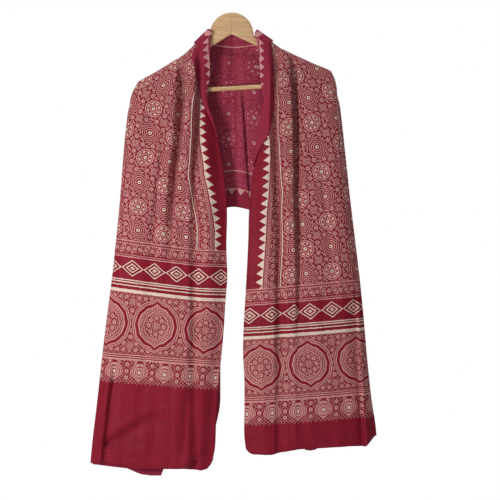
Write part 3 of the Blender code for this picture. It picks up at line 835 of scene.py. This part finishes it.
# Where the rows of motifs lie, in mm from the middle of the length, the edge, or the end of the field
FIELD_END = 609
FIRST_ROUNDEL = (-584, 109)
CELL, CELL_LENGTH, CELL_WIDTH = 56, 55.62, 58.5
EDGE_CHAIN, BORDER_END = 65, 86.6
END_CHAIN, DIAMOND_ROW, MEDALLION_ROW, LOTUS_ROW = 18.1, 61, 180, 259.6
FIRST_DIAMOND, FIRST_MEDALLION, FIRST_LOTUS = 75.5, 52, 77
HALF_DIAMOND, HALF_MEDALLION, HALF_LOTUS = 25.2, 56.5, 29.25
# The bands of both ends lie this far towards opposite edges
END_SHIFT = 7


def far(x, y):
    """How far a place is from a motif's middle."""
    return put("VectorMath LENGTH", put("CombineXYZ", x, y, 0))


def polar(x, y):
    """How far a place is from a motif's middle, and the angle there."""
    return far(x, y), put("ARCTAN2", y, x)


def around(reach, turn, out):
    """A place's distances outward and aside from the nearest of a ring of motifs that lie this far out."""
    outward = put("SUBTRACT", put("MULTIPLY", reach, put("COSINE", turn)), out)
    return outward, put("MULTIPLY", reach, put("SINE", turn))


def petals(reach, angle, count, swell):
    """The distance, drawn in and out to give a motif this many petals."""
    return put("MULTIPLY_ADD", put("COSINE", put("MULTIPLY", angle, count)), swell, reach)


def rings(reach, table):
    """A motif's rings from its table."""
    end = table[-1][0]
    return put("ValToRGB", put("DIVIDE", reach, end), stops=table, reach=end)


def over(under, reach, table):
    """Lays a motif's rings over what is there."""
    motif = rings(reach, table)
    return put("Mix RGBA", (motif, "Alpha"), under, motif)


def flower(under, x, y, count, swell, table):
    """Lays a flower with this many petals over what is there."""
    return over(under, petals(*polar(x, y), count, swell), table)


def specks(x, y, pitch, limit):
    """Small curled leaves that fill the ground between motifs."""
    turn = 1.5 * pi / pitch
    x, y = (put("MULTIPLY", put(kind, x, y), turn) for kind in ("ADD", "SUBTRACT"))
    first, last = (
        put("SINE", put("MULTIPLY_ADD", put("SINE", other), bend, own))
        for own, other, bend in ((x, y, 1.3), (y, x, -1.3))
    )
    leaf = put("MULTIPLY", first, last)
    return put("CombineColor", put("GREATER_THAN", leaf, limit), 0, put("LESS_THAN", leaf, -0.8))


def field(length, width):
    """The field: roundels and eight-sided rosettes in turn, blossoms between, leafy stars at the corners."""
    half = CELL / 2
    along = put("MULTIPLY", put("SUBTRACT", length, FIRST_ROUNDEL[0]), CELL / CELL_LENGTH)
    across = put("MULTIPLY", put("SUBTRACT", width, FIRST_ROUNDEL[1]), CELL / CELL_WIDTH)
    x, y = put("WRAP", along, half, -half), put("WRAP", across, half, -half)
    both = put("SUBTRACT", put("ADD", along, across), put("ADD", x, y))
    turn = put("GREATER_THAN", put("PINGPONG", put("DIVIDE", both, CELL), 1), 0.5)
    reach, angle = polar(x, y)
    eighth = put("PINGPONG", angle, pi / 8)
    vine = put("COMPARE", petals(reach, angle, 8, 1.9), put("MULTIPLY_ADD", turn, 3.6, 22.4), 0.8)
    drawn = put("Mix RGBA", vine, specks(x, y, 7, 0.3), PALE)
    far_x, far_y = put("ABSOLUTE", x), put("ABSOLUTE", y)
    low = put("MINIMUM", far_x, far_y)
    to_edge = put("SUBTRACT", half, put("MAXIMUM", far_x, far_y))
    drawn = flower(drawn, to_edge, put("SUBTRACT", half, low), 4, 2, LEAFY)
    drawn = flower(drawn, to_edge, put("SUBTRACT", low, 11.6), 6, 0.7, BLOSSOM)
    rosette = over(drawn, put("MULTIPLY", reach, put("COSINE", eighth)), ROSETTE)
    roundel = rings(reach, ROUNDEL)
    seeds = put("LESS_THAN", far(*around(reach, eighth, 11.2)), 2.3)
    pip_x, pip_y = around(reach, put("SUBTRACT", pi / 8, eighth), 13.2)
    rays = put("MULTIPLY", put("LESS_THAN", pip_y, 0.8), put("COMPARE", reach, 8, 2.6))
    seeded = put("Mix RGBA", seeds, put("Mix RGBA", rays, roundel, GROUND), GROUND)
    seeded = put("Mix RGBA", put("LESS_THAN", far(pip_x, pip_y), 1.5), seeded, CREAM)
    seeded = put("Mix RGBA", (roundel, "Alpha"), drawn, seeded)
    return put("Mix RGBA", turn, rosette, seeded)


def chain(along, across, pitch):
    """A border chain of small flowers with leaning swirls between them."""
    x = put("WRAP", along, pitch / 2, -pitch / 2)
    drawn = flower(specks(along, across, 5.6, 0.4), x, across, 6, 0.9, BLOSSOM)
    beside = put("WRAP", put("ADD", along, pitch / 2), pitch / 2, -pitch / 2)
    lean = put("MULTIPLY_ADD", across, -0.45, beside)
    return over(drawn, far(lean, put("MULTIPLY", across, 0.62)), SWIRL)


def dotted(drawn, along, across, *rows):
    """Small squares left red along pale lines."""
    for row in rows:
        dots = put("LESS_THAN", put("PINGPONG", along, 2.6), 1.4)
        drawn = put("Mix RGBA", put("MULTIPLY", put("COMPARE", across, row, 1.35), dots), drawn, GROUND)
    return drawn


def edge_border(length, edge):
    """The long borders: teeth of cream triangles, dotted rows and a flower chain."""
    links = chain(length, put("SUBTRACT", edge, EDGE_CHAIN), 28)
    drawn = put("Mix RGBA", put("COMPARE", edge, EDGE_CHAIN, 11), rings(edge, EDGE_STRIPES), links)
    drawn = dotted(drawn, length, edge, 51.3, 78.7)
    tooth = put("MULTIPLY_ADD", put("PINGPONG", length, 9.9), 15.4 / 9.9, 28.6)
    teeth = put("MULTIPLY", put("GREATER_THAN", edge, tooth), put("LESS_THAN", edge, 44))
    return put("Mix RGBA", teeth, drawn, CREAM)


def end_bands(reach, width, shifted):
    """The end bands: chain, diamonds, stripes, medallions, lotus row and the plain end."""
    links = chain(width, put("SUBTRACT", reach, END_CHAIN), 27)
    drawn = put("Mix RGBA", put("COMPARE", reach, END_CHAIN, 9.9), rings(reach, END_STRIPES), links)
    drawn = dotted(drawn, width, reach, 5.6, 30.6)
    aside = put("PINGPONG", put("SUBTRACT", shifted, FIRST_DIAMOND), HALF_DIAMOND)
    aside = put("DIVIDE", aside, HALF_DIAMOND)
    up = put("DIVIDE", put("ABSOLUTE", put("SUBTRACT", reach, DIAMOND_ROW)), 18.5)
    drawn = over(drawn, put("MINIMUM", put("ADD", aside, up), 1.9), DIAMOND)
    return lotus_row(medallions(drawn, reach, shifted), reach, shifted)


def medallions(drawn, reach, shifted):
    """Pointed medallions, with sprays between them and a dense floral filling."""
    x = put("WRAP", put("SUBTRACT", shifted, FIRST_MEDALLION), HALF_MEDALLION, -HALF_MEDALLION)
    y = put("SUBTRACT", reach, MEDALLION_ROW)
    filled = specks(x, y, 5.6, 0.28)
    filled = flower(filled, put("WRAP", x, 7, -7), put("WRAP", y, 7, -7), 5, 0.9, SPRAY)
    distance, turn = polar(x, y)
    inner = over(specks(x, y, 5.6, -0.15), petals(distance, turn, 8, 1.3), LEAFY)
    posy = around(distance, put("PINGPONG", turn, pi / 8), 17.4)
    inner = flower(inner, *posy, 5, 0.8, BLOSSOM)
    filled = put("Mix RGBA", put("LESS_THAN", distance, 26), filled, inner)
    near = put("MAXIMUM", put("MULTIPLY_ADD", put("ABSOLUTE", x), -1 / 16, 1), 0)
    pointed = put("MULTIPLY_ADD", put("MULTIPLY", near, near), -6, distance)
    lobed = petals(pointed, turn, 12, -0.55)
    filled = over(filled, lobed, MEDALLION)
    beads = put("GREATER_THAN", put("COSINE", put("MULTIPLY", turn, 36)), 0.1)
    beads = put("MULTIPLY", put("COMPARE", lobed, 30.9, 1.3), beads)
    filled = put("Mix RGBA", beads, filled, PALE)
    aside = put("SUBTRACT", HALF_MEDALLION, put("ABSOLUTE", x))
    filled = flower(filled, aside, put("SUBTRACT", put("ABSOLUTE", y), 47), 8, 1.2, LEAFY)
    return put("Mix RGBA", put("COMPARE", reach, MEDALLION_ROW, 65), drawn, filled)


def lotus_row(drawn, reach, shifted):
    """A row of lotus buds with small plants between them, its outer edge scalloped."""
    x = put("PINGPONG", put("SUBTRACT", shifted, FIRST_LOTUS), HALF_LOTUS)
    y = put("SUBTRACT", reach, LOTUS_ROW)
    past_heart = put("SUBTRACT", y, 26)
    waist = put("COSINE", put("MULTIPLY", past_heart, 0.165))
    below = put("MAXIMUM", put("SUBTRACT", y, 30), 0)
    closing = put("MULTIPLY", put("MULTIPLY", below, below), -0.055)
    half = put("MAXIMUM", put("MULTIPLY_ADD", waist, 4, put("ADD", closing, 17.5)), 0.3)
    outline = put("MULTIPLY", put("DIVIDE", x, half), 26)
    heart = put("VectorMath MULTIPLY", put("CombineXYZ", x, past_heart, 0), (0.8, 0.74, 1))
    bud = put("MAXIMUM", outline, put("VectorMath LENGTH", heart))
    plants = specks(x, y, 6, 0.4)
    aside = put("SUBTRACT", HALF_LOTUS, x)
    for height in (9, 24, 39):
        plants = flower(plants, aside, put("SUBTRACT", y, height), 6, 0.6, BLOSSOM)
    filled = over(plants, put("MINIMUM", bud, 59), LOTUS)
    notch = put("LESS_THAN", put("MULTIPLY_ADD", x, 0.8, y), 7.5)
    filled = put("Mix RGBA", notch, filled, GROUND)
    scallop = put("COSINE", put("MULTIPLY", shifted, pi / 4.9))
    under_scallop = put("LESS_THAN", y, put("MULTIPLY_ADD", scallop, 1.6, 51.5))
    return put("Mix RGBA", put("MULTIPLY", put("GREATER_THAN", y, 0), under_scallop), drawn, filled)


def draw_blocks():
    """Draws the whole print in its group."""
    blocks.interface.new_socket("Place", in_out="INPUT", socket_type="NodeSocketVector")
    blocks.interface.new_socket("Blocks", in_out="OUTPUT", socket_type="NodeSocketColor")
    split = put("SeparateXYZ", blocks.nodes.new("NodeGroupInput"))
    length, width = (split, "X"), (split, "Y")
    reach = put("SUBTRACT", put("ABSOLUTE", length), FIELD_END)
    edge = put("MINIMUM", width, put("SUBTRACT", CLOTH_WIDTH, width))
    shifted = put("MULTIPLY_ADD", put("SIGN", length), END_SHIFT, width)
    in_field = put("GREATER_THAN", edge, BORDER_END)
    middle = put("Mix RGBA", in_field, edge_border(length, edge), field(length, width))
    ends = end_bands(put("MAXIMUM", reach, 0), width, shifted)
    drawn = put("Mix RGBA", put("GREATER_THAN", reach, 0), middle, ends)
    join(drawn, blocks.nodes.new("NodeGroupOutput").inputs["Blocks"])


def make_cloth(name, ground, drifted, pale, cream, dark, strength):
    """Madder-dyed block-printed modal silk, a plain weave of fine uneven threads.

    The threads lie 0.35 mm apart, too fine to show, so the slubs along them are drawn 2 mm wide. They give
    faint streaks and a low satin sheen across the folds. The dye and the resist take unevenly from block to
    block, so the red drifts a little darker and lighter over a hand's breadth.
    """
    made, inputs, put = start_material(name, {
        "IOR": 1.46, "Specular IOR Level": 0.12, "Sheen Weight": 0.03, "Sheen Roughness": 0.45,
        "Sheen Tint": paint("#E8B4B0"),
    })
    flat = put("VectorMath SCALE", put("UVMap", uv_map="Print"), sockets={"Scale": 1000})
    wander = put("TexNoise", flat, sockets={"Scale": 0.11, "Detail": 2})
    away = put("VectorMath SUBTRACT", (wander, "Color"), (0.5, 0.5, 0.5))
    place = put("VectorMath ADD", flat, put("VectorMath SCALE", away, sockets={"Scale": 2.2}))
    split = put("SeparateColor", put("Group", place, node_tree=blocks))
    take = put("TexNoise", flat, sockets={"Scale": 0.35, "Detail": 3, "Roughness": 0.7})
    taken = put("MapRange", take, 0.3, 0.62, 0.72, 1)
    drift = put("TexNoise", flat, sockets={"Scale": 0.012, "Detail": 2})
    colour = put("Mix RGBA", drift, paint(ground), paint(drifted))
    for channel, ink in (("Red", pale), ("Green", cream), ("Blue", dark)):
        colour = put("Mix RGBA", put("MULTIPLY", (split, channel), taken), colour, paint(ink))
    along, across = (
        put("TexNoise", put("VectorMath MULTIPLY", flat, stretch), sockets={"Scale": 1, "Detail": 2})
        for stretch in ((0.018, 0.5, 1), (0.5, 0.018, 1))
    )
    slubs = put("ADD", put("MULTIPLY", along, 0.6), put("MULTIPLY", across, 0.4))
    shade = put("MapRange", slubs, 0.34, 0.66, 0.78, 1.2)
    join(put("Mix RGBA", 1, colour, shade, blend_type="MULTIPLY"), inputs["Base Color"])
    join(put("MapRange", slubs, 0.3, 0.7, 0.66, 0.52), inputs["Roughness"])
    relief = {"Strength": strength, "Distance": 0.0006, "Height": slubs}
    join(put("Bump", sockets=relief), inputs["Normal"])
    return made


def make_wood(name, light, dark, joint):
    """Sawn and sanded schima wood under a thin satin lacquer: pale tan with fine brown grain along each arm.

    Its growth lines are 3 mm apart and its pores are 0.3 mm wide, drawn 1 mm wide so that they show.
    """
    made, inputs, put = start_material(name, {"IOR": 1.5, "Coat Weight": 0.15, "Coat Roughness": 0.3})
    where = (put("TexCoord"), "Object")
    lean = put("VectorRotate", where, rotation_type="Y_AXIS", sockets={"Angle": -ROLL})
    growth_scale = {"Scale": 2.2, "Detail": 3, "Distortion": 0.4}
    growth = put("TexNoise", put("VectorMath MULTIPLY", lean, (6, 60, 90)), sockets=growth_scale)
    pores = put("VectorMath MULTIPLY", lean, (30, 500, 900))
    pores = put("TexNoise", pores, sockets={"Scale": 1, "Detail": 2})
    drift = put("TexNoise", lean, sockets={"Scale": 14, "Detail": 2})
    base = put("Mix RGBA", put("MapRange", growth, 0.35, 0.65, 0, 1), paint(light), paint(dark))
    pore = put("MapRange", pores, 0.56, 0.7, 1, 0.8)
    tone = put("MULTIPLY", pore, put("MapRange", drift, 0.3, 0.7, 0.93, 1.06))
    if joint:
        split = put("SeparateXYZ", where)
        seam = put("COMPARE", put("MULTIPLY_ADD", (split, "Z"), tan(ROLL), (split, "X")), 0, 0.0006)
        tone = put("MULTIPLY", tone, put("MULTIPLY_ADD", seam, -0.3, 1))
    join(put("Mix RGBA", 1, base, tone, blend_type="MULTIPLY"), inputs["Base Color"])
    join(put("MapRange", pores, 0.3, 0.7, 0.38, 0.5), inputs["Roughness"])
    join(put("Bump", sockets={"Strength": 0.25, "Distance": 0.0004, "Height": pores}), inputs["Normal"])
    return made


# ---- Floor, light and camera
FLOOR_Z = -1.35
FLOOR_NEAR, FLOOR_FAR, FLOOR_HALF = -3.6, 0.75, 3
LIGHTS = (
    ("window light", (-0.9, -1.1, -0.52), 13, 0.36),
    ("rear light", (1.6, 1.9, 0.1), 26, 1.2),
    ("ceiling light", (0, -0.3, 2.4), 48, 2.6),
)


def make_studio():
    """A plain pale floor and surround, with a window light at the left, a rear light and a ceiling light."""
    mesh = bpy.data.meshes.new("floor")
    corners = [
        (-FLOOR_HALF, FLOOR_NEAR, FLOOR_Z), (FLOOR_HALF, FLOOR_NEAR, FLOOR_Z),
        (FLOOR_HALF, FLOOR_FAR, FLOOR_Z), (-FLOOR_HALF, FLOOR_FAR, FLOOR_Z),
    ]
    mesh.from_pydata(corners, [], [(0, 1, 2, 3)])
    mesh.materials.append(
        start_material("matt_paper", {"Base Color": paint("#F2F1EF"), "Roughness": 0.9})[0]
    )
    bring_in("floor", mesh)
    world = bpy.data.worlds.new("pale surround")
    world.use_nodes = True
    surround = world.node_tree.nodes["Background"]
    surround.inputs["Color"].default_value = (1, 1, 1, 1)
    strength = add(world.node_tree, "MapRange", add(world.node_tree, "LightPath"), 0, 1, 0.22, 1)
    join(strength, surround.inputs["Strength"])
    bpy.context.scene.world = world
    for name, place, power, size in LIGHTS:
        data = bpy.data.lights.new(name, "AREA")
        data.energy = power
        data.size = size
        lamp = bring_in(name, data)
        lamp.location = place
        lamp.rotation_euler = (Vector((0, 0, -0.5)) - Vector(place)).to_track_quat("-Z", "Y").to_euler()
    lens = bpy.data.cameras.new("camera")
    lens.sensor_width = 36
    lens.lens = 93.9
    camera = bring_in("camera", lens)
    camera.location = (0.045, -3.0, -0.546)
    camera.rotation_euler = (pi / 2, 0, 0)
    bpy.context.scene.camera = camera
    bpy.context.scene.view_settings.view_transform = "Standard"


make_studio()
draw_blocks()
stole = make_stole([
    make_cloth("printed_modal_silk", "#8A1A2E", "#7B1426", "#C9928D", "#E3CDBC", "#581020", 0.5),
    make_cloth("modal_silk_wrong_side", "#982B43", "#8A2239", "#AC4A5F", "#D39796", "#7E1B33", 0.4),
    make_cloth("modal_silk_edge", "#8E1B30", "#80152A", "#A8515C", "#C08A80", "#5A101F", 0.4),
])
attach(stole, "root")
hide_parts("stole")

body_wood = make_wood("sanded_schima_body", "#DDB58A", "#CEA478", True)
bar_wood = make_wood("turned_schima_bar", "#E2BC8C", "#CBA06E", False)
for node, finish in (("hanger_body", body_wood), ("hanger_bar", bar_wood)):
    for part_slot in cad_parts[node].material_slots:
        part_slot.material = finish
